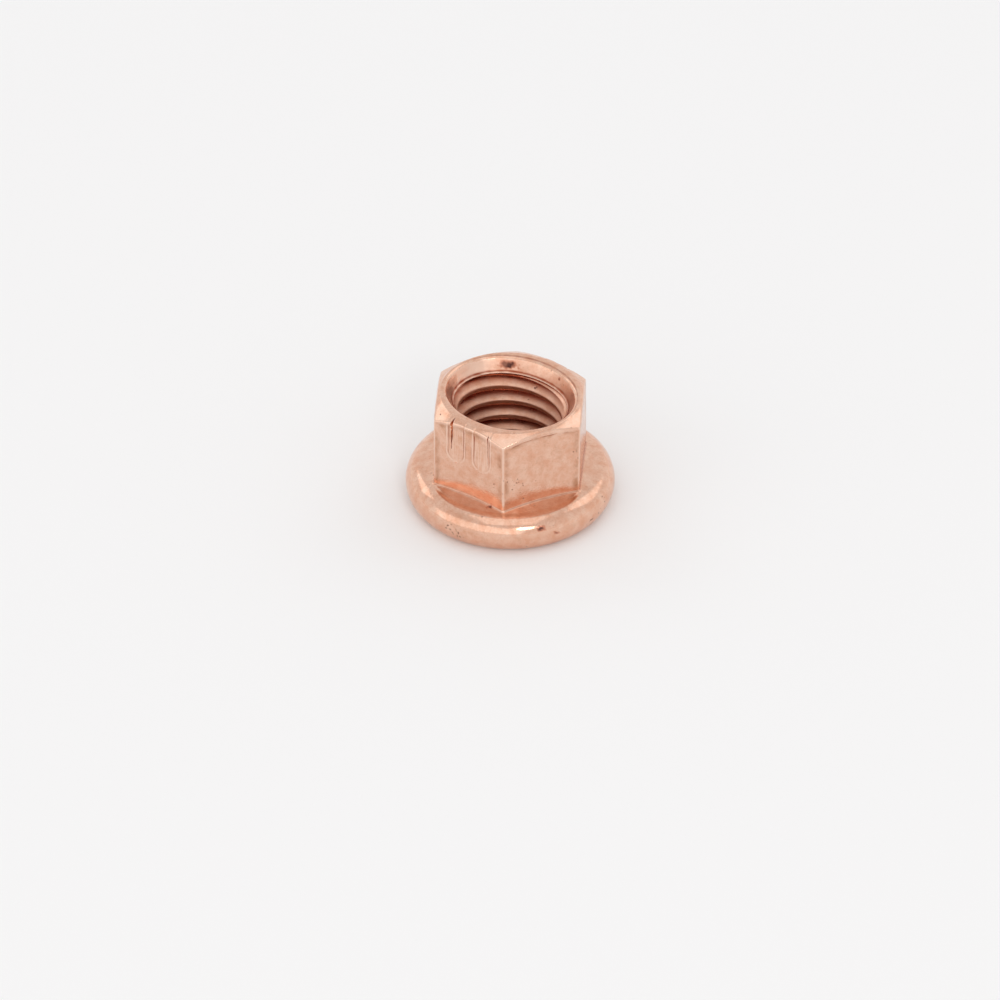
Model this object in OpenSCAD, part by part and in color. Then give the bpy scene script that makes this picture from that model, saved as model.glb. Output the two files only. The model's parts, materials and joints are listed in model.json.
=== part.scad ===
// Hexagon flange nut with a crimped, self-locking end, as used on exhaust
// manifold studs. It is one cold-formed piece. The thread axis is Z, the
// bearing face lies on Z = 0 and the hexagon points up. The two crimped
// flats face +Y and -Y. Sizes are in millimetres and angles in degrees.

/* [Hexagon] */
// Width across the flats
flats_w = 12; // [11.8:0.1:19]
// Height from the bearing face to the hexagon end
nut_h = 10.2; // [8.4:0.1:16]
// Distance that rounding takes off each of the six corners
corner_off = 0.04; // [0.02:0.01:0.2]
// Distance from the flats in to the flat ring on the hexagon end
end_inset = 0.3; // [0.1:0.05:0.4]
// Angle of the end chamfer from the end face
end_chamfer = 30; // [15:1:35]

/* [Flange] */
// Distance that the flange stands out past the hexagon's corners
flange_overhang = 1.72; // [1.6:0.02:3]
// Height of the rim's widest point above the bearing face
rim_mid_h = 1.5; // [1.2:0.1:1.8]
// Radius of the rim from its widest point up to its crest
rim_upper_r = 1.58; // [1.2:0.02:1.7]
// Distance that the rim's underside curves in before it meets the bearing face
rim_lower_in = 0.9; // [0.5:0.05:1.3]
// Slope of the flange's upper face, rising from the rim's crest to the hexagon
flange_slope = 15; // [6:1:20]

/* [Bearing face] */
// Width of the flat ring that bears on the joint
bearing_ring_w = 0.6; // [0.3:0.1:1]
// Depth of the dish inside the ring
dish_depth = 0.12; // [0.05:0.01:0.3]
// How much wider than the thread the lead-in opens at the bearing side
lead_in_extra = 1.15; // [0.4:0.05:1.4]
// Angle of the lead-in's wall from the thread axis
lead_in_angle = 38; // [30:1:55]

/* [Thread] */
// Nominal thread diameter
thread_d = 10; // [6:0.5:10]
// Thread pitch
pitch = 1.5; // [1:0.25:1.75]

/* [Crimped end] */
// How much wider than the thread the mouth is between the crimped flats
mouth_long_extra = 1.1; // [0.5:0.05:1.2]
// How much narrower than the thread the mouth is across the crimped flats
mouth_short_less = 0.4; // [0:0.05:0.6]
// Angle of the mouth's wall from the thread axis
mouth_angle = 29; // [22:1:45]
// Distance between the centre lines of the two punch marks on a crimped flat
mark_pitch = 2.56; // [2.2:0.02:3]
// Width of a punch mark
mark_w = 1.7; // [1:0.1:2]
// Length of a punch mark, down from the hexagon end
mark_l = 3.9; // [2:0.1:4.5]
// Depth of a punch mark at the hexagon end
mark_depth = 0.16; // [0.05:0.01:0.3]
// Distance of the split from the middle of its flat
split_offset = 1.75; // [1:0.05:2]
// Length of the split, down from the hexagon end
split_l = 3.1; // [1.5:0.1:4]
// Width of the split at the hexagon end
split_w = 0.4; // [0.2:0.05:0.6]
// Depth of the split at the hexagon end
split_depth = 0.55; // [0.2:0.05:0.7]

/* [Hidden] */
$fn = 96;
copper_plate = [0.80, 0.50, 0.37];
// Overrun of every cut past the face that it opens through
cut = 1;

// The hexagon's sharp corners lie on a circle of corner_at, and are rounded back to corner_r
corner_at = flats_w / 2 / cos(30);
corner_r = corner_at - corner_off;

flange_r = corner_at + flange_overhang;
rim_crest = [flange_r - rim_upper_r, rim_mid_h + rim_upper_r];
// Arc upright at the widest point that meets the bearing face rim_lower_in inside it
rim_lower_r = (pow(rim_lower_in, 2) + pow(rim_mid_h, 2)) / (2 * rim_lower_in);
bearing_r = flange_r - rim_lower_in;
dish_r = bearing_r - bearing_ring_w;

// Internal thread: minor radius of the basic 60 degree profile
minor_r = thread_d / 2 - pitch * 0.5413;
lead_in_r = (thread_d + lead_in_extra) / 2;
lead_in_top = dish_depth + (lead_in_r - minor_r) / tan(lead_in_angle);

// The mouth is the overlap of two equal circles, set apart along Y
mouth_short_r = (thread_d - mouth_short_less) / 2;
mouth_long_r = (thread_d + mouth_long_extra) / 2;
mouth_arc_r = (pow(mouth_short_r, 2) + pow(mouth_long_r, 2)) / (2 * mouth_short_r);
mouth_arc_at = mouth_arc_r - mouth_short_r;

// Half section of the flange, with its round rim and sloping upper face
module flange_section() {
    polygon([
        [0, 0],
        [bearing_r, 0],
        [flange_r, rim_mid_h],
        rim_crest,
        [0, rim_crest.y + rim_crest.x * tan(flange_slope)],
    ]);
    intersection() {
        translate([rim_crest.x, rim_mid_h]) circle(rim_upper_r);
        translate([rim_crest.x, rim_mid_h]) square(rim_upper_r + cut);
    }
    intersection() {
        translate([flange_r - rim_lower_r, rim_mid_h]) circle(rim_lower_r);
        translate([bearing_r - cut, 0]) square([rim_lower_in + 2 * cut, rim_mid_h]);
    }
}

// Half section of the round blank that the hexagon is cut from, with its end chamfer
module blank_section() {
    ring_r = flats_w / 2 - end_inset;
    polygon([
        [0, 0],
        [corner_r, 0],
        [corner_r, nut_h - (corner_r - ring_r) * tan(end_chamfer)],
        [ring_r, nut_h],
        [0, nut_h],
    ]);
}

// Half section of everything turned out of the middle: dish, lead-in and bore
module bore_section() {
    polygon([
        [0, -cut],
        [dish_r, -cut],
        [dish_r, 0],
        [lead_in_r, dish_depth],
        [minor_r, lead_in_top],
        [minor_r, nut_h + cut],
        [0, nut_h + cut],
    ]);
}

// Countersunk mouth, squeezed narrow across the crimped flats
module crimped_mouth() {
    spread = tan(mouth_angle);
    depth = (mouth_arc_r - minor_r) / spread + cut;
    intersection_for(way = [-1, 1])
        translate([0, way * mouth_arc_at, nut_h - depth])
            cylinder(h = depth + cut,
                     r1 = mouth_arc_r - depth * spread,
                     r2 = mouth_arc_r + cut * spread);
}

// One U-shaped punch mark in the flat facing +Y, deepest at the hexagon end
module punch_mark() {
    lean = atan(mark_depth / mark_l);
    translate([0, flats_w / 2, nut_h - mark_l])
        rotate([lean - 90, 0, 0])
            linear_extrude(height = cut) {
                translate([0, -mark_w / 2]) circle(mark_w / 2);
                translate([-mark_w / 2, -mark_l - cut])
                    square([mark_w, mark_l + cut - mark_w / 2]);
            }
}

// Wedge-shaped split where a punch broke into the flat facing +Y
module split() {
    lean = atan(split_depth / split_l);
    flank = split_w / 2 / split_depth;
    rise = 2 * cut;
    translate([0, flats_w / 2, nut_h - split_l])
        rotate([lean, 0, 0])
            linear_extrude(height = split_l + cut)
                polygon([[0, 0], [flank * rise, rise], [-flank * rise, rise]]);
}

// Both flats are crimped alike, half a turn apart
module crimp_marks() {
    for (turn = [0, 180]) rotate(turn) {
        for (way = [-1, 1])
            translate([way * mark_pitch / 2, 0, 0]) punch_mark();
        translate([split_offset, 0, 0]) split();
    }
}

module flange_nut() {
    color(copper_plate)
        difference() {
            union() {
                rotate_extrude() flange_section();
                intersection() {
                    cylinder(h = nut_h, r = corner_at, $fn = 6);
                    rotate_extrude() blank_section();
                }
            }
            rotate_extrude() bore_section();
            crimped_mouth();
            crimp_marks();
        }
}

flange_nut();
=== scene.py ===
"""A crimped flange nut in copper-flashed steel, standing on its flange on a pale floor."""

import json
import math

import bmesh
import bpy
from mathutils import Matrix, Vector, noise


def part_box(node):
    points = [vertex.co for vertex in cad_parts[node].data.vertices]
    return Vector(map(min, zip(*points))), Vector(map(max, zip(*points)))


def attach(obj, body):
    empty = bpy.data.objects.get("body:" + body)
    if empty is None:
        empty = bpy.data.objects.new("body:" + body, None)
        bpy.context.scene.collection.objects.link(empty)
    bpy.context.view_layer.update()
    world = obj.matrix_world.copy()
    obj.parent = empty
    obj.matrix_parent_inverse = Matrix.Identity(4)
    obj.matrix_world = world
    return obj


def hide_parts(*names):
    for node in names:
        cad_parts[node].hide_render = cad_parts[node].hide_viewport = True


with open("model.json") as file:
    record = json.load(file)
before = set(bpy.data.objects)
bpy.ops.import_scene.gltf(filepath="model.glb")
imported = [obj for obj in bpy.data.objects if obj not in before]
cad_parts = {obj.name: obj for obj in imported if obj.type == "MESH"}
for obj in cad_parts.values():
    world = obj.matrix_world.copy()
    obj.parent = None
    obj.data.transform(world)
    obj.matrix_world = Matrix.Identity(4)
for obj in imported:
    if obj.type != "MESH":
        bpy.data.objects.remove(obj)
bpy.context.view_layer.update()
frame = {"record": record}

# Lengths are in millimetres until a finished mesh is scaled by this
MM = 0.001

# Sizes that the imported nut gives
nut_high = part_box("flange_nut")[1]
mounts = {m["name"]: m for m in frame["record"]["mounts"]}
NUT_H = nut_high.z / MM
FLANGE_R = nut_high.x / MM
MINOR_R = mounts["thread"]["dims"]["r_mm"]
BEARING_MID_R = mounts["bearing_face"]["pos_m"][0] / MM

# Hexagon
SECTORS = 6
HALF_SECTOR = math.pi / SECTORS
HALF_FLATS = 6.0
CORNER_R = 0.2
END_RING_R = 5.7
END_SLOPE = math.radians(30)
SHOULDER_R = 0.26
BROW_R = 0.3
FOOT_FILLET = 0.18

# Burr that the end chamfer rolled over the top of the flats: how far it stands out, its distance
# below the edge, its half width, and how far down it can reach
BURR_PROUD = 0.055
BURR_AT = 0.12
BURR_SIZE = 0.07
BURR_REACH = 0.6

# Flange
BEARING_HALF_W = 0.3
DISH_DEPTH = 0.12
RIM_MID_H = 1.5
RIM_UPPER_R = 1.58
CONE_SLOPE = math.radians(15)

# Thread, with its lead-in at the bearing side
PITCH = 1.5
MAJOR_R = 5.03
THREAD_AT = -0.45
CREST_ROUND = 0.16
ROOT_ROUND = 0.11
# The body's bore is narrower than the thread's crests, so that the tap cuts all of its wall
BORE_CLEAR = 0.2
TAP_TURNS = 10
TAP_STEPS = 144
TAP_LOW = -0.7
TAP_PAST_END = 0.6
LEAD_IN_R = 5.575
LEAD_IN_ANGLE = math.radians(38)
LEAD_IN_ROUND = 0.1

# Mouth, which ends in a lip above the thread
MOUTH_R = 5.18
MOUTH_ANGLE = math.radians(29)
RIDGE_R = 0.38
LIP_H = 9.05
LIP_PROUD = 0.13
LIP_ROUND = 0.05
LIP_HOLLOW = 0.12
LIP_UNDER = 0.16
LEDGE_SLOPE = math.radians(30)

# Crimp: how far the mouth is squeezed across the crimped flats, from which height, and the share of
# it that the outside doesn't follow
SQUEEZE = 0.4
SQUEEZE_FROM = 5.0
SQUEEZE_LOST = 0.85

# Punch marks in the crimped flats
MARK_AT = 1.28
MARK_R = 0.85
MARK_FOOT = 6.3
MARK_DEPTH = 0.10
MARK_FOOT_DEPTH = 0.03
MARK_LIP = 0.05
# Part of a crimped flat that the punches can reach: half its width, and how far below the marks
PUNCH_REACH = 3.2
PUNCH_BELOW = 0.5

# Splits: side, place along the flat, height of the foot, depth and width at the nut's end
SPLITS = (
    (1, 1.75, 7.1, 0.55, 0.36),
    (-1, 1.75, 7.1, 0.55, 0.36),
    (-1, -1.88, 6.7, 0.24, 0.15),
)
# A split's cutter stands this far out of the flat, and goes this far past the nut's end
SPLIT_PROUD = 0.3
SPLIT_PAST_END = 0.4

# Dark spots: stains in the plating, and the first one a painted dark reflection in the mouth; angle from
# X, distance from the axis, height and radius
DARK_SPOTS = (
    (127, 4.85, 9.62, 0.78),
    (66, 4.95, 9.75, 0.16),
    (-38, 8.40, 2.30, 0.42),
    (-29, 8.62, 1.70, 0.26),
    (152, 8.30, 2.60, 0.46),
    (74, 8.55, 1.95, 0.34),
    (-70, 6.60, 3.25, 0.22),
    (33, 6.20, 8.90, 0.26),
    (-150, 6.30, 3.50, 0.30),
)
# Dark spots are this much wider than they are high
SPOT_STRETCH = 2.7

# Brown border inside the edges of a flat: where it starts, is full and ends, and its lowest height
BORDER_FROM = 0.1
BORDER_FULL = 0.22
BORDER_FADES = 0.25
BORDER_TO = 0.75
BORDER_LOW = 3.2

# Wear of the edges and waviness of the outside: depth, and size of their patches
WEAR_DEPTH = 0.02
WEAR_SIZE = 0.35
WAVE_DEPTH = 0.01
WAVE_SIZE = 1.6

# Columns of the mesh on a plain flat and on a crimped one
COLUMNS = 58
CRIMPED_COLUMNS = 116
# Radii of the ring and the tube of the net that the body is made from; only its rows and columns count
NET_R = 100.0
NET_TUBE = 10.0

# How the finish and the painted light differ from point to point: depth in the thread, which also
# sets painted shade in it, dark spot (stains and one painted dark reflection), rubbed edge with a
# painted highlight, hollow with painted shade, drawn streaks in the punch marks, brown border, crest
# of the thread with a painted reflection, matt surface, turning marks
FINISH = ("groove", "dark_spot", "edge", "hollow", "drawn", "border", "land", "dull", "turned")
# Bend in 1/mm from which an edge is rubbed and gets a painted highlight, or a hollow gets painted shade,
# and at which it is so in full
EDGE_BEND = (0.9, 3.2)
HOLLOW_BEND = (0.8, 3.5)
# How much painted highlight the hexagon's corners get at their top, and how much painted light the
# mouth's wall gets near its long ends
CORNER_HIGHLIGHT = 0.4
MOUTH_END_LIGHT = 0.8
# Roughness added in the thread, on its crests and in the mouth, and taken off on the rim
THREAD_DULL = 0.1
LAND_DULL = 0.3
MOUTH_DULL = 0.18
RIM_GLOSS = 0.05
# Angle between faces from which an edge is drawn sharp
CREASE = math.radians(40)

# Camera: sensor and focal length in mm, distance and aim in mm, direction in degrees
SENSOR_W = 36
FOCAL_LENGTH = 288
CAMERA_DISTANCE = 661
CAMERA_AIM = Vector((-0.10, -1.325, 0))
CAMERA_FROM = (-55.1, 36.67)
# Half the width of the floor, in metres
FLOOR_HALF = 3.0


def smooth(low, high, value):
    """Smooth step from 0 at low to 1 at high."""
    t = min(max((value - low) / (high - low), 0.0), 1.0)
    return t * t * (3 - 2 * t)


def corner_turn():
    """Half of the angle that a rounded corner of the hexagon takes, seen from the axis."""
    centre = (HALF_FLATS - CORNER_R) / math.cos(HALF_SECTOR)
    return math.atan2(CORNER_R / 2, centre + CORNER_R * math.cos(HALF_SECTOR))


def column_angles():
    """Angles of the section's columns, closer together round the corners and on crimped flats."""
    near = [corner_turn() * share for share in (0, 0.33, 0.67, 1, 1.5, 2.2)]
    angles = []
    for turn in range(SECTORS):
        faces_y = turn % (SECTORS // 2) == 1
        steps = (CRIMPED_COLUMNS if faces_y else COLUMNS) // 2 - len(near) + 1
        half = near + [near[-1] + (HALF_SECTOR - near[-1]) * (k + 1) / steps for k in range(steps)]
        sector = half + [2 * HALF_SECTOR - a for a in half[-2:0:-1]] + [2 * HALF_SECTOR]
        angles += [turn * 2 * HALF_SECTOR + a for a in sector[:-1]]
    return angles


def off_corner(angle):
    """Angle to the nearest corner of the hexagon, which lie at whole sectors."""
    return abs((angle + HALF_SECTOR) % (2 * HALF_SECTOR) - HALF_SECTOR)


def hexagon_radius(angle):
    """Distance from the axis to the hexagon, whose corners are rounded."""
    off = off_corner(angle)
    centre = (HALF_FLATS - CORNER_R) / math.cos(HALF_SECTOR)
    if off < corner_turn():
        return centre * math.cos(off) + math.sqrt(CORNER_R ** 2 - (centre * math.sin(off)) ** 2)
    return HALF_FLATS / math.cos(HALF_SECTOR - off)


def run(start, end, count, ease=1.0):
    """Points from start up to, and not at, end, evenly spaced or closer to start with ease over 1."""
    return [start.lerp(end, (k / count) ** ease) for k in range(count)]


def arc(centre, radius, start, end, count):
    """Points on an arc of a half section from the angle start up to, and not at, end."""
    turn = (end - start) / count
    angles = [start + turn * k for k in range(count)]
    return [centre + Vector((radius * math.cos(a), radius * math.sin(a))) for a in angles]


def rounded(before, corner, after, radius, count):
    """Arc of count points that rounds a corner between two straight runs."""
    u = (before - corner).normalized()
    v = (after - corner).normalized()
    half = math.acos(max(-1.0, min(1.0, u.dot(v)))) / 2
    reach = radius / math.tan(half)
    centre = corner + (u + v).normalized() * (radius / math.sin(half))
    first = corner + u * reach - centre
    turn = math.pi - 2 * half
    way = 1 if u.x * v.y - u.y * v.x < 0 else -1
    points = []
    for k in range(count):
        a = way * turn * k / (count - 1)
        points.append(centre + Vector((first.x * math.cos(a) - first.y * math.sin(a),
                                       first.x * math.sin(a) + first.y * math.cos(a))))
    return points


def shoulder_height(wall_r):
    """Height at which the end chamfer meets the hexagon's wall at a distance from the axis."""
    return NUT_H - (wall_r - END_RING_R) * math.tan(END_SLOPE)


def mouth_radius(height):
    """Radius of the mouth's wall at a height, before the crimp."""
    return MOUTH_R - (NUT_H - height) * math.tan(MOUTH_ANGLE)


def lead_in_section(bore_r):
    """Lead-in, its rounded edge and the dish, up to the bearing face."""
    top = Vector((bore_r, DISH_DEPTH + (LEAD_IN_R - bore_r) / math.tan(LEAD_IN_ANGLE)))
    corner = Vector((LEAD_IN_R, DISH_DEPTH))
    ring_in = Vector((BEARING_MID_R - BEARING_HALF_W, 0))
    edge = rounded(top, corner, ring_in, LEAD_IN_ROUND, 4)
    return run(top, edge[0], 7) + edge[:-1] + run(edge[-1], ring_in, 5) + [ring_in]


def rim_section():
    """Bearing face and the round rim: upright at its widest point, and ending on its crest."""
    bearing_out = BEARING_MID_R + BEARING_HALF_W
    under_in = FLANGE_R - bearing_out
    under_r = (under_in ** 2 + RIM_MID_H ** 2) / (2 * under_in)
    under_turn = math.asin(RIM_MID_H / under_r)
    under = arc(Vector((FLANGE_R - under_r, RIM_MID_H)), under_r, -under_turn, 0, 11)
    over = arc(Vector((FLANGE_R - RIM_UPPER_R, RIM_MID_H)), RIM_UPPER_R, 0, math.pi / 2, 17)
    return [Vector((BEARING_MID_R, 0)), Vector((bearing_out - 0.03, 0))] + under + over


def mouth_section(end_in, bore_r):
    """Ridge round the mouth, the mouth's wall, its lip and the ledge above the thread."""
    ridge_at = Vector((MOUTH_R, NUT_H))
    hollow = Vector((mouth_radius(LIP_H + LIP_HOLLOW) + 0.02, LIP_H + LIP_HOLLOW))
    lip = Vector((mouth_radius(LIP_H) - LIP_PROUD, LIP_H))
    under_lip = Vector((mouth_radius(LIP_H) + LIP_PROUD / 2, LIP_H - LIP_UNDER))
    ledge_in = Vector((bore_r, under_lip.y - (under_lip.x - bore_r) * math.tan(LEDGE_SLOPE)))
    ridge = rounded(end_in, ridge_at, hollow, RIDGE_R, 8)
    brim = rounded(hollow, lip, under_lip, LIP_ROUND, 5)
    return (run(end_in, ridge[0], 3) + ridge[:-1] + run(ridge[-1], hollow, 10, 0.6)
            + run(hollow, brim[0], 2)
            + brim[:-1] + run(brim[-1], under_lip, 2) + run(under_lip, ledge_in, 5) + [ledge_in])


def section_at(angle):
    """Half section of the nut at an angle, as (radius, height) points in a closed ring."""
    wall_r = hexagon_radius(angle)
    bore_r = MINOR_R - BORE_CLEAR
    crest = Vector((FLANGE_R - RIM_UPPER_R, RIM_MID_H + RIM_UPPER_R))
    foot = Vector((wall_r, crest.y + (crest.x - wall_r) * math.tan(CONE_SLOPE)))
    knee = Vector((wall_r, MARK_FOOT - 0.4))
    end_out = Vector((wall_r, shoulder_height(wall_r)))
    end_in = Vector((END_RING_R, NUT_H))
    fillet = rounded(crest, foot, end_out, FOOT_FILLET, 5)
    shoulder = rounded(foot, end_out, end_in, SHOULDER_R, 7)
    brow = rounded(end_out, end_in, Vector((MOUTH_R, NUT_H)), BROW_R, 4)
    points = lead_in_section(bore_r) + rim_section()
    points += run(crest, fillet[0], 8) + fillet[:-1]
    points += run(fillet[-1], knee, 8, 1.4) + run(knee, shoulder[0], 34) + shoulder[:-1]
    points += run(shoulder[-1], brow[0], 5) + brow[:-1]
    points += mouth_section(brow[-1], bore_r)
    return points + run(points[-1], points[0], 4)[1:]


def mark_gap(co):
    """Distance of a point of a crimped flat outside the outline of the nearer punch mark."""
    x = abs(abs(co.x) - MARK_AT)
    return math.hypot(x, min(co.z - MARK_FOOT - MARK_R, 0)) - MARK_R


def on_crimped_flat(co):
    """1 on the part of the crimped flats that the punches reach, and 0 elsewhere."""
    if co.z <= MARK_FOOT - PUNCH_BELOW or abs(co.x) >= PUNCH_REACH:
        return 0.0
    return smooth(5.0, 5.85, abs(co.y))


def bordered(co):
    """How close a point of a flat lies to the brown border just inside the flat's edges, 0 to 1."""
    r = math.hypot(co.x, co.y)
    angle = math.atan2(co.y, co.x)
    wall_r = hexagon_radius(angle)
    shoulder_h = shoulder_height(wall_r)
    if r < wall_r - 0.15 or not BORDER_LOW < co.z < shoulder_h:
        return 0.0
    from_corner = HALF_FLATS * (math.tan(HALF_SECTOR) - math.tan(HALF_SECTOR - off_corner(angle)))
    inside = min(from_corner, shoulder_h - co.z)
    return smooth(BORDER_FROM, BORDER_FULL, inside) * smooth(BORDER_TO, BORDER_FADES, inside)


def punched(co):
    """Moves a point of the outside where two punches pressed each crimped flat, with a raised lip."""
    outside = on_crimped_flat(co)
    if outside == 0:
        return co
    side = 1 if co.y > 0 else -1
    along = min(max((co.z - MARK_FOOT) / (NUT_H - MARK_FOOT), 0), 1)
    at_end = smooth(NUT_H - 1.0, NUT_H - 0.3, co.z)
    deep = (MARK_FOOT_DEPTH + (MARK_DEPTH - MARK_FOOT_DEPTH) * along) * (1 - 0.6 * at_end)
    gap = mark_gap(co)
    press = deep * smooth(0.04, -0.12, gap)
    ragged = 0.65 + 0.7 * noise.noise(co / 0.8)
    press -= MARK_LIP * ragged * (1 - at_end) * math.exp(-((gap - 0.06) / 0.055) ** 2)
    return Vector((co.x, co.y - side * press * outside, co.z))


def rolled(co, angle):
    """Moves a point of a plain flat where the end chamfer rolled a burr over its upper edge."""
    wall_r = hexagon_radius(angle)
    below = shoulder_height(wall_r) - SHOULDER_R / 2 - co.z
    crimped_flat = abs(co.y) > 0.98 * HALF_FLATS
    if crimped_flat or not 0 < below < BURR_REACH or math.hypot(co.x, co.y) < wall_r - 0.01:
        return co
    ragged = 0.75 + 0.5 * noise.noise(co / 0.6)
    swell = math.exp(-((below - BURR_AT) / BURR_SIZE) ** 2)
    swell -= 0.7 * math.exp(-((below - BURR_AT - 2.2 * BURR_SIZE) / BURR_SIZE) ** 2)
    grow = BURR_PROUD * ragged * swell * smooth(0, 0.12, off_corner(angle))
    return co + Vector((co.x, co.y, 0)).normalized() * grow


def face_outward(bm):
    """Turns the faces of a closed mesh outward after its points were moved."""
    bm.normal_update()
    bmesh.ops.recalc_face_normals(bm, faces=bm.faces)


def nut_body():
    """The nut without its thread: a ring-shaped net is spun, and each column takes its own section."""
    angles = column_angles()
    sections = [section_at(a) for a in angles]
    rows = len(sections[0])
    bm = bmesh.new()
    bmesh.ops.create_circle(bm, segments=rows, radius=NET_TUBE)
    bmesh.ops.rotate(bm, verts=bm.verts, matrix=Matrix.Rotation(math.pi / 2, 3, "X"))
    bmesh.ops.translate(bm, verts=bm.verts, vec=(NET_R, 0, 0))
    bmesh.ops.spin(bm, geom=bm.verts[:] + bm.edges[:], cent=(0, 0, 0), axis=(0, 0, 1),
                   angle=2 * math.pi, steps=len(angles), use_merge=True)
    column_step = 2 * math.pi / len(angles)
    row_step = 2 * math.pi / rows
    for v in bm.verts:
        column = round(math.atan2(v.co.y, v.co.x) / column_step) % len(angles)
        row = round(math.atan2(v.co.z, math.hypot(v.co.x, v.co.y) - NET_R) / row_step) % rows
        r, z = sections[column][row]
        angle = angles[column]
        v.co = rolled(punched(Vector((r * math.cos(angle), r * math.sin(angle), z))), angle)
    face_outward(bm)
    return bm


def tap():
    """The thread's cutter: a right-hand screw, longer than the bore, that runs out under the lip."""
    flank = (MAJOR_R - MINOR_R) * math.tan(math.pi / 6)
    land = PITCH / 4
    root = PITCH - land - 2 * flank
    ridge = [Vector((MINOR_R, 0)), Vector((MINOR_R, land)),
             Vector((MAJOR_R, land + flank)), Vector((MAJOR_R, land + flank + root))]
    corners = [p + Vector((0, PITCH * (k - 2) + THREAD_AT)) for k in range(TAP_TURNS) for p in ridge]
    corners = [corners[3] - Vector((0, PITCH))] + corners + [corners[-4] + Vector((0, PITCH))]
    profile = []
    for before, corner, after in zip(corners, corners[1:], corners[2:]):
        radius = CREST_ROUND if corner.x < MAJOR_R else ROOT_ROUND
        profile += rounded(before, corner, after, radius, 3)
    bm = bmesh.new()
    verts = [bm.verts.new((p.x, 0, p.y)) for p in profile]
    verts.append(bm.verts.new((profile[0].x, 0, profile[0].y + TAP_TURNS * PITCH)))
    for a, b in zip(verts, verts[1:]):
        bm.edges.new((a, b))
    bmesh.ops.spin(bm, geom=bm.verts[:] + bm.edges[:], cent=(0, 0, 0), axis=(0, 0, 1),
                   dvec=(0, 0, PITCH / TAP_STEPS), angle=2 * math.pi, steps=TAP_STEPS,
                   use_merge=False)
    bmesh.ops.remove_doubles(bm, verts=bm.verts, dist=0.001)
    for height, way in ((TAP_LOW, -1), (NUT_H + TAP_PAST_END, 1)):
        cut = bmesh.ops.bisect_plane(bm, geom=bm.verts[:] + bm.edges[:] + bm.faces[:], dist=1e-5,
                                     plane_co=(0, 0, height), plane_no=(0, 0, way), clear_outer=True)
        rim = [e for e in cut["geom_cut"] if isinstance(e, bmesh.types.BMEdge)]
        bmesh.ops.contextual_create(bm, geom=rim)
    for v in bm.verts:
        r = math.hypot(v.co.x, v.co.y)
        if r > MINOR_R:
            left = 1 - smooth(LIP_H - 0.4, LIP_H - 0.05, v.co.z)
            share = (MINOR_R + (r - MINOR_R) * left) / r
            v.co = Vector((v.co.x * share, v.co.y * share, v.co.z))
    face_outward(bm)
    return bm


def split_wedge(side, at, foot, deep, width):
    """The cutter for a split: a thin dart that widens to the nut's end, with a torn edge."""
    bm = bmesh.new()
    bmesh.ops.create_cone(bm, cap_ends=True, segments=3, radius1=1.0, radius2=1.0, depth=1.0)
    along = [e for e in bm.edges if abs(e.verts[0].co.z - e.verts[1].co.z) > 0.5]
    bmesh.ops.subdivide_edges(bm, edges=along, cuts=14, use_grid_fill=True)
    for v in bm.verts:
        t = v.co.z + 0.5
        torn = noise.noise(Vector((t * 9, at - 3, v.co.x)))
        depth = deep * (0.1 + t)
        half = (width * t ** 0.8 + 0.01) / 2 * (1 + 0.4 * torn)
        half *= min((SPLIT_PROUD + depth) / depth, 4)
        z = foot + (NUT_H + SPLIT_PAST_END - foot) * t
        if v.co.y > 0.9:
            v.co = Vector((at + 0.08 * width * torn, HALF_FLATS - depth, z))
        else:
            way = 1 if v.co.x > 0 else -1
            v.co = Vector((at + way * half, HALF_FLATS + SPLIT_PROUD, z))
    if side < 0:
        bmesh.ops.rotate(bm, verts=bm.verts, matrix=Matrix.Rotation(math.pi, 3, "Z"))
    face_outward(bm)
    return bm


def as_object(bm, name):
    """A new object that holds a bmesh, which is freed."""
    mesh = bpy.data.meshes.new(name)
    bm.to_mesh(mesh)
    bm.free()
    made = bpy.data.objects.new(name, mesh)
    bpy.context.scene.collection.objects.link(made)
    return made


def crimped(co):
    """Squeezes the end of the nut out of round: in across the crimped flats, out between them."""
    r = math.hypot(co.x, co.y)
    fade = smooth(SQUEEZE_FROM, NUT_H - 0.4, co.z)
    fade *= 1 - SQUEEZE_LOST * smooth(MOUTH_R, HALF_FLATS, r)
    twice = (co.x ** 2 - co.y ** 2) / (r * r)
    grow = 1 + SQUEEZE * fade * twice / r
    return Vector((co.x * grow, co.y * grow, co.z))


def groove_depth(co):
    """How deep a point lies in the thread: 0 off it, and from 0.2 on its crest to 1 in its root."""
    r = math.hypot(co.x, co.y)
    if r > MAJOR_R + 0.02 or co.z > LIP_H - 0.1:
        return 0.0
    return (0.2 + 0.8 * (r - MINOR_R) / (MAJOR_R - MINOR_R)) * smooth(0.3, 1.4, co.z)


def landed(co):
    """1 on the flat crests of the thread, and 0 elsewhere."""
    r = math.hypot(co.x, co.y)
    on_crest = smooth(MINOR_R + 0.14, MINOR_R + 0.05, r)
    return on_crest * smooth(LIP_H, LIP_H - 0.2, co.z) * smooth(1.2, 1.8, co.z)


def shade_lines(co):
    """Where a thin dark line is painted: painted shade in the hollow above the lip, and a painted dark
    reflection on the ridge of the mouth, on one side of it.
    """
    r = math.hypot(co.x, co.y)
    if r > MOUTH_R + 0.4 or co.z < LIP_H:
        return 0.0
    ragged = 0.8 + 0.8 * noise.noise(co / 0.5)
    over_lip = math.exp(-((co.z - LIP_H - LIP_HOLLOW) / 0.07) ** 2)
    on_ridge = math.exp(-((r - MOUTH_R - 0.19) / 0.045) ** 2) * smooth(NUT_H - 0.3, NUT_H - 0.1, co.z)
    away = math.atan2(co.y, co.x) - math.radians(80)
    return min(1.0, ragged * max(over_lip, 0.8 * on_ridge * smooth(0.0, 0.5, math.cos(away))))


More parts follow.
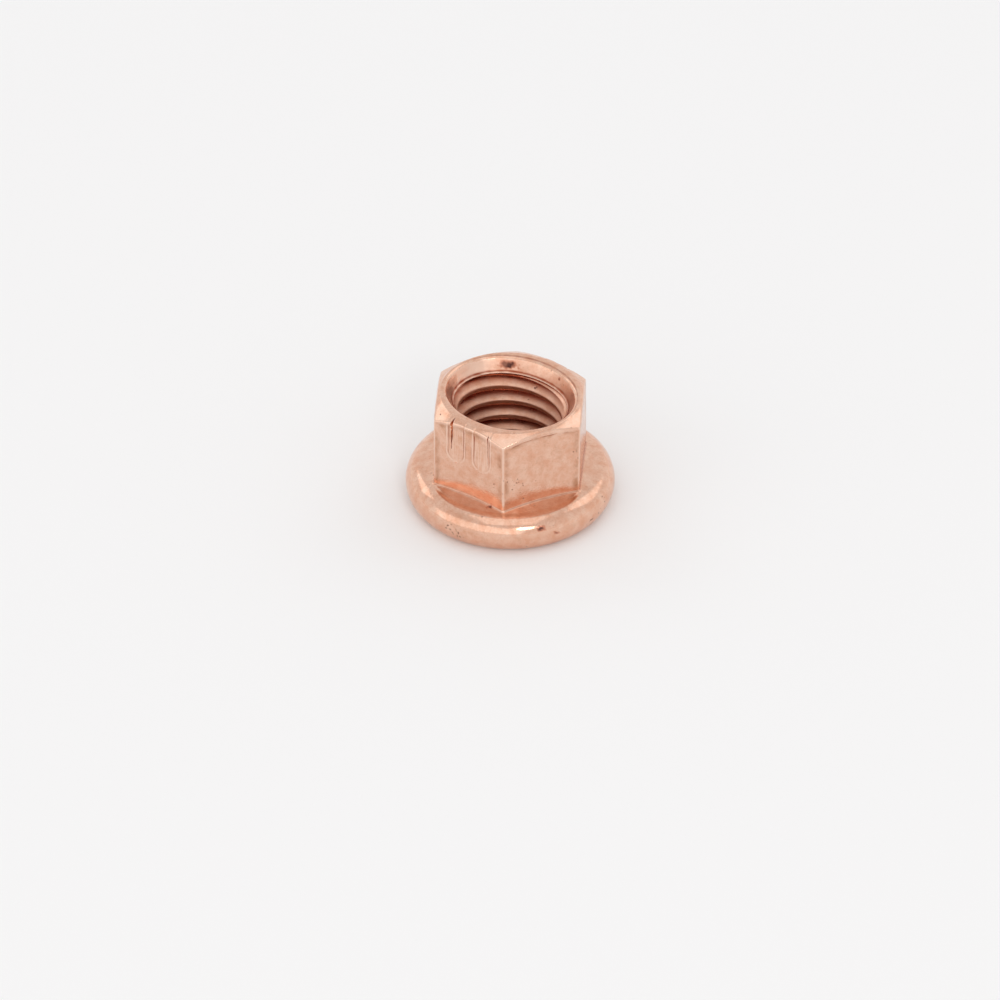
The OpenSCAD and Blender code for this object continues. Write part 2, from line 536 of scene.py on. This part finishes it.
def darkened(co):
    """How dark a point is painted, from 0 to 1: stains in the plating, and one painted dark reflection in
    the mouth.
    """
    dark = 0.0
    for turn, r, z, size in DARK_SPOTS:
        a = math.radians(turn)
        gap = co - Vector((r * math.cos(a), r * math.sin(a), z))
        gap.z *= SPOT_STRETCH
        away = gap.length / size * (1 + 0.6 * noise.noise(co / 0.22))
        dark = max(dark, smooth(1.3, 0.4, away))
    return dark


def bends(bm):
    """How sharply the surface bends at each point, in 1/mm: over 0 on edges, under 0 in hollows."""
    bm.normal_update()
    bent = []
    for v in bm.verts:
        total = 0.0
        for e in v.link_edges:
            along = e.other_vert(v).co - v.co
            total -= 2 * along.dot(v.normal) / max(along.length_squared, 0.0009)
        bent.append(max(-6.0, min(6.0, total / len(v.link_edges))))
    around = [[e.other_vert(v).index for e in v.link_edges] for v in bm.verts]
    return [(bent[k] + sum(bent[j] for j in near) / len(near)) / 2 for k, near in enumerate(around)]


def finish_skin(bm):
    """Wears the edges, makes the outside slightly uneven and notes where the finish and the painted light
    and shade differ.
    """
    bm.verts.index_update()
    groove, dark_spot, edge, hollow, drawn, border, land, dull, turned = (
        bm.verts.layers.float.new(name) for name in FINISH)
    for v in bm.verts:
        v[groove] = groove_depth(v.co)
        # Stains, and one painted dark reflection in the mouth
        v[dark_spot] = darkened(v.co)
        # Painted dark lines: shade above the lip and a dark reflection on the mouth's ridge
        v[hollow] = shade_lines(v.co)
        v[border] = bordered(v.co)
        v[land] = landed(v.co)
        gap = mark_gap(v.co)
        marked = on_crimped_flat(v.co) * smooth(NUT_H - 0.3, NUT_H - 1.1, v.co.z)
        v[drawn] = marked * smooth(0.0, -0.1, gap)
        broken = min(1.0, 0.55 + 0.9 * noise.noise(v.co / 0.7))
        r = math.hypot(v.co.x, v.co.y)
        in_mouth = smooth(LIP_H, LIP_H + 0.1, v.co.z) * smooth(MOUTH_R + 0.1, MOUTH_R - 0.2, r)
        v[dull] = THREAD_DULL * min(4 * v[groove], 1) + LAND_DULL * v[land] + MOUTH_DULL * in_mouth
        v[dull] -= RIM_GLOSS * smooth(7.0, 7.4, r)
        in_dish = smooth(BEARING_MID_R, BEARING_MID_R - BEARING_HALF_W, r)
        v[turned] = in_dish * smooth(2.2, 1.7, v.co.z)
        # Pale edges, rubbed and with painted highlights: the punch marks' lips, the tops of the corners,
        # and painted light on the mouth's wall near its long ends
        v[edge] = max(broken * marked * math.exp(-((gap - 0.05) / 0.06) ** 2),
                      CORNER_HIGHLIGHT * smooth(5.95, 6.25, r) * smooth(9.3, 9.6, v.co.z),
                      MOUTH_END_LIGHT * in_mouth * smooth(3.2, 4.6, abs(v.co.x)))
        v.co = crimped(v.co)
    for v, bend in zip(bm.verts, bends(bm)):
        at_end = smooth(NUT_H - 0.2, NUT_H - 0.05, v.co.z)
        in_thread = smooth(0, 0.2, v[groove])
        upward = smooth(0.05, 0.5, v.normal.z)
        # The painted reflection on the crests is left off those that face up
        v[land] *= 1 - upward * in_thread
        # Painted highlight, with rubbing, on bent edges; in the thread only on crests that face up
        v[edge] = max(v[edge], smooth(*EDGE_BEND, bend) * (1 - in_thread + 0.5 * in_thread * upward)
                      * (1 - 0.8 * at_end))
        # Painted shade in hollows, more of it higher up
        v[hollow] = max(v[hollow], smooth(*HOLLOW_BEND, -bend) * smooth(1.0, 6.0, v.co.z))
        outer = smooth(5.0, 5.4, math.hypot(v.co.x, v.co.y)) * smooth(0.1, 0.6, v.co.z)
        worn = v[edge] * WEAR_DEPTH * (0.35 + noise.noise(v.co / WEAR_SIZE))
        wave = WAVE_DEPTH * outer * noise.noise(v.co / WAVE_SIZE)
        v.co -= v.normal * (worn * smooth(0.1, 0.4, v.co.z) + wave)


def cut_nut():
    """The finished nut: the body is cut by the tap and the splits, then crimped and worn."""
    body = as_object(nut_body(), "nut")
    cutters = [as_object(tap(), "tap")] + [as_object(split_wedge(*s), "split") for s in SPLITS]
    for cutter in cutters:
        change = body.modifiers.new("cut", "BOOLEAN")
        change.operation = "DIFFERENCE"
        change.solver = "EXACT"
        change.object = cutter
    bpy.context.view_layer.update()
    done = bpy.data.meshes.new_from_object(body.evaluated_get(bpy.context.evaluated_depsgraph_get()))
    for used in cutters + [body]:
        bpy.data.objects.remove(used)
    bm = bmesh.new()
    bm.from_mesh(done)
    finish_skin(bm)
    bmesh.ops.scale(bm, verts=bm.verts, vec=(MM, MM, MM))
    bm.to_mesh(done)
    bm.free()
    made = bpy.data.objects.new("nut", done)
    bpy.context.scene.collection.objects.link(made)
    done.shade_smooth()
    done.set_sharp_from_angle(angle=CREASE)
    return made


def linear(hex_colour):
    """An sRGB hex colour as the linear colour that a node takes."""
    parts = [int(hex_colour[k:k + 2], 16) / 255 for k in (1, 3, 5)]
    return [c / 12.92 if c <= 0.04045 else ((c + 0.055) / 1.055) ** 2.4 for c in parts] + [1.0]


def add(tree, kind, values=None, links=None, **settings):
    """Adds a node, sets its properties and input values, and links its inputs."""
    made = tree.nodes.new(kind)
    for name, value in settings.items():
        setattr(made, name, value)
    for name, value in (values or {}).items():
        made.inputs[name].default_value = value
    for name, socket in (links or {}).items():
        tree.links.new(socket, made.inputs[name])
    return made


def new_material(name):
    """An empty node material."""
    made = bpy.data.materials.new(name)
    made.use_nodes = True
    made.node_tree.nodes.clear()
    return made


def copper_flash():
    """Copper flash on cold-formed steel. It gives the eye a satin, rosy metal with clouded colour,
    pale rubbed edges with painted highlights, painted red-brown shade with some tarnish in the thread,
    painted shade in hollows, a painted reflection on the thread's crests, dark stains with one painted
    dark reflection among them, and a few pits."""
    made = new_material("copper_flash")
    tree = made.node_tree
    place = add(tree, "ShaderNodeTexCoord").outputs["Object"]
    groove, dark_spot, edge, hollow, drawn, border, land, dull, turned = (
        add(tree, "ShaderNodeAttribute", attribute_name=name).outputs["Fac"] for name in FINISH)

    # Clouds in the flash, about 0.7 mm across, over a grain of 0.13 mm, which is coarser than the
    # real one so that it shows
    cloud = add(tree, "ShaderNodeTexNoise", {"Scale": 1 / (0.7 * MM), "Detail": 4.0, "Roughness": 0.55},
                {"Vector": place})
    grain = add(tree, "ShaderNodeTexNoise", {"Scale": 1 / (0.13 * MM), "Detail": 2.0, "Roughness": 0.6},
                {"Vector": place})
    smudge = add(tree, "ShaderNodeTexNoise", {"Scale": 1 / (2.2 * MM), "Detail": 7.0, "Roughness": 0.68,
                                              "Distortion": 0.4}, {"Vector": place})
    tone = add(tree, "ShaderNodeMapRange", {"From Min": 0.36, "From Max": 0.66},
               {"Value": cloud.outputs["Fac"]})
    speck = add(tree, "ShaderNodeMapRange", {"From Min": 0.5, "From Max": 0.8, "To Max": 0.4},
                {"Value": grain.outputs["Fac"]})
    browned = add(tree, "ShaderNodeMapRange", {"From Min": 0.53, "From Max": 0.7, "To Max": 0.28},
                  {"Value": smudge.outputs["Fac"]})
    patches = add(tree, "ShaderNodeMapRange", {"From Min": 0.4, "From Max": 0.62, "To Max": 0.75},
                  {"Value": smudge.outputs["Fac"]})
    border_brown = add(tree, "ShaderNodeMath", None, {0: border, 1: patches.outputs[0]},
                       operation="MULTIPLY")

    # Streaks that the punches drew down their marks, 0.12 mm wide and 2 mm long
    lengthwise = add(tree, "ShaderNodeMapping", {"Scale": (1 / 0.12, 1 / 0.12, 1 / 2.0)},
                     {"Vector": place})
    streak_noise = add(tree, "ShaderNodeTexNoise", {"Scale": 1 / MM, "Detail": 2.0},
                       {"Vector": lengthwise.outputs["Vector"]})
    streak = add(tree, "ShaderNodeMapRange", {"From Min": 0.45, "From Max": 0.7, "To Max": 0.7},
                 {"Value": streak_noise.outputs["Fac"]})
    drawn_streak = add(tree, "ShaderNodeMath", None, {0: drawn, 1: streak.outputs[0]},
                       operation="MULTIPLY")

    # Pits of 0.1 to 0.2 mm, in patches a few millimetres across
    pit_noise = add(tree, "ShaderNodeTexNoise", {"Scale": 1 / (0.24 * MM), "Detail": 1.0},
                    {"Vector": place})
    pit_patch = add(tree, "ShaderNodeTexNoise", {"Scale": 1 / (2.6 * MM), "Detail": 2.0},
                    {"Vector": place})
    pit_level = add(tree, "ShaderNodeMath", None,
                    {0: pit_noise.outputs["Fac"], 1: pit_patch.outputs["Fac"]}, operation="ADD")
    pit = add(tree, "ShaderNodeMapRange", {"From Min": 1.345, "From Max": 1.39, "To Max": 0.9},
              {"Value": pit_level.outputs[0]})

    clear = add(tree, "ShaderNodeMixRGB", {"Color1": linear("#EFC4AC"), "Color2": linear("#E5AF93")},
                {"Fac": tone.outputs[0]})
    # Painted shade, with some tarnish: red-brown deeper in the thread's grooves
    deep = add(tree, "ShaderNodeMapRange", {"From Min": 0.32, "From Max": 0.8, "To Max": 0.8},
               {"Value": groove})
    # Painted reflection of the copper walls on the thread's crests
    land_reflection = add(tree, "ShaderNodeMath", {1: 0.75}, {0: land}, operation="MULTIPLY")

    # Dark spots have a red-brown edge and a purple-brown middle; on the spot in the mouth, a painted dark
    # reflection, the edge is a painted red glow
    patchy = add(tree, "ShaderNodeMapRange", {"From Min": 0.36, "From Max": 0.66, "To Min": 0.6},
                 {"Value": cloud.outputs["Fac"]})
    blotch = add(tree, "ShaderNodeMath", None, {0: dark_spot, 1: patchy.outputs[0]}, operation="MULTIPLY")
    halo = add(tree, "ShaderNodeMapRange", {"From Min": 0.02, "From Max": 0.35, "To Max": 0.55},
               {"Value": dark_spot})
    middle = add(tree, "ShaderNodeMapRange", {"From Min": 0.3, "From Max": 0.8, "To Max": 0.88},
                 {"Value": blotch.outputs[0]})

    # Coats of colour over the clear flash, from the grain up to the pits
    colour = clear.outputs[0]
    for tint, share in (
        ("#C98C6C", speck.outputs[0]),
        ("#B9835F", browned.outputs[0]),
        ("#A9714F", border_brown.outputs[0]),
        ("#F4D0BB", drawn_streak.outputs[0]),
        # Pale edges: rubbed, and a painted highlight on bent edges, upward thread crests, corner tops and
        # the mouth wall's long ends
        ("#F4D0BB", edge),
        # Painted shade in hollows, and painted dark lines at the lip and the mouth's ridge
        ("#98401F", hollow),
        # Painted shade with some tarnish in the thread's grooves
        ("#A04526", deep.outputs[0]),
        # Painted reflection of copper on the thread's crests
        ("#C06A44", land_reflection.outputs[0]),
        # Dark spots: stains, and one painted dark reflection with a painted red glow
        ("#BE5F3C", halo.outputs[0]),
        ("#4A2F30", middle.outputs[0]),
        ("#74483A", pit.outputs[0]),
    ):
        coat = add(tree, "ShaderNodeMixRGB", {"Color2": linear(tint)}, {"Fac": share, "Color1": colour})
        colour = coat.outputs[0]

    gloss = add(tree, "ShaderNodeMapRange", {"From Min": 0.38, "From Max": 0.62, "To Min": 0.11,
                                             "To Max": 0.24}, {"Value": smudge.outputs["Fac"]})
    satin = add(tree, "ShaderNodeMath", None, {0: dull, 1: gloss.outputs[0]}, operation="ADD")
    duller = add(tree, "ShaderNodeMath", {1: 0.3}, {0: blotch.outputs[0], 2: satin.outputs[0]},
                 operation="MULTIPLY_ADD")

    # Turning marks 0.18 mm apart in the dish and the lead-in; a wave repeats every 0.314 units
    rings = add(tree, "ShaderNodeTexWave",
                {"Scale": 0.314 / (0.18 * MM), "Distortion": 2.0, "Detail": 2.0, "Detail Scale": 0.5},
                {"Vector": place}, wave_type="RINGS", rings_direction="Z")
    ring_depth = add(tree, "ShaderNodeMath", None, {0: turned, 1: rings.outputs["Fac"]},
                     operation="MULTIPLY")

    wave = add(tree, "ShaderNodeBump", {"Strength": 0.3, "Distance": 0.03 * MM},
               {"Height": cloud.outputs["Fac"]})
    fine = add(tree, "ShaderNodeBump", {"Strength": 0.5, "Distance": 0.012 * MM},
               {"Height": grain.outputs["Fac"], "Normal": wave.outputs["Normal"]})
    sunk = add(tree, "ShaderNodeBump", {"Strength": 0.6, "Distance": 0.02 * MM},
               {"Height": pit.outputs[0], "Normal": fine.outputs["Normal"]}, invert=True)
    grooved = add(tree, "ShaderNodeBump", {"Strength": 0.5, "Distance": 0.03 * MM},
                  {"Height": ring_depth.outputs[0], "Normal": sunk.outputs["Normal"]})
    shader = add(tree, "ShaderNodeBsdfPrincipled", {"Metallic": 1.0},
                 {"Base Color": colour, "Roughness": duller.outputs[0],
                  "Normal": grooved.outputs["Normal"]})
    add(tree, "ShaderNodeOutputMaterial", None, {"Surface": shader.outputs["BSDF"]})
    return made


def white_card():
    """Matt white card. It gives the eye an even pale floor with the nut's soft shadow."""
    made = new_material("white_card")
    tree = made.node_tree
    shader = add(tree, "ShaderNodeBsdfDiffuse", {"Color": linear("#F6F6F6")})
    add(tree, "ShaderNodeOutputMaterial", None, {"Surface": shader.outputs["BSDF"]})
    return made


def floor():
    """A card that the nut stands on."""
    bm = bmesh.new()
    bmesh.ops.create_grid(bm, x_segments=1, y_segments=1, size=FLOOR_HALF)
    made = as_object(bm, "floor")
    made.data.materials.append(white_card())


def direction(azimuth, elevation):
    """Unit vector from the nut towards a direction in degrees."""
    a, e = math.radians(azimuth), math.radians(elevation)
    return Vector((math.cos(a) * math.cos(e), math.sin(a) * math.cos(e), math.sin(e)))


def aimed(name, data, towards, distance, look_at=Vector((0, 0, 0))):
    """A lamp or camera that stands in a direction from a point and faces it."""
    made = bpy.data.objects.new(name, data)
    made.location = look_at + towards * distance
    made.rotation_mode = "QUATERNION"
    made.rotation_quaternion = (-towards).to_track_quat("-Z", "Y")
    bpy.context.scene.collection.objects.link(made)
    return made


def camera():
    """A long lens at the photograph's viewing angle."""
    data = bpy.data.cameras.new("camera")
    data.sensor_width = SENSOR_W
    data.lens = FOCAL_LENGTH
    data.clip_start = 0.01
    bpy.context.scene.camera = aimed("camera", data, direction(*CAMERA_FROM), CAMERA_DISTANCE * MM,
                                     CAMERA_AIM * MM)


def softbox(name, towards, distance, width, height, glow):
    """A lamp of a size in metres, whose face is as bright as glow, where white card is 1."""
    data = bpy.data.lights.new(name, "AREA")
    data.shape = "RECTANGLE"
    data.size, data.size_y = width, height
    data.energy = glow * math.pi * width * height
    aimed(name, data, towards, distance)


def sky():
    """Plain studio surroundings, brighter at the horizon than overhead."""
    world = bpy.data.worlds.new("studio")
    bpy.context.scene.world = world
    world.use_nodes = True
    tree = world.node_tree
    tree.nodes.clear()
    way = add(tree, "ShaderNodeTexCoord").outputs["Generated"]
    parts = add(tree, "ShaderNodeSeparateXYZ", None, {"Vector": way})
    level = add(tree, "ShaderNodeMapRange", {"To Min": 0.97, "To Max": 0.8},
                {"Value": parts.outputs["Z"]})
    glow = add(tree, "ShaderNodeBackground", {"Color": linear("#FBFAFA")}, {"Strength": level.outputs[0]})
    add(tree, "ShaderNodeOutputWorld", None, {"Surface": glow.outputs["Background"]})


nut = cut_nut()
nut.data.materials.append(copper_flash())
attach(nut, "root")
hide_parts("flange_nut")

floor()
camera()
softbox("overhead", direction(-55, 80), 1.0, 0.75, 0.75, 0.32)
softbox("key", direction(-92, 27), 1.1, 2.2, 0.7, 0.38)
softbox("accent", direction(-37, 37), 1.1, 0.28, 0.22, 4.5)
softbox("side", direction(66, 44), 1.1, 0.6, 0.6, 0.4)
softbox("fill", direction(172, 37), 1.1, 0.5, 0.3, 0.5)
sky()
bpy.context.scene.view_settings.view_transform = "Standard"
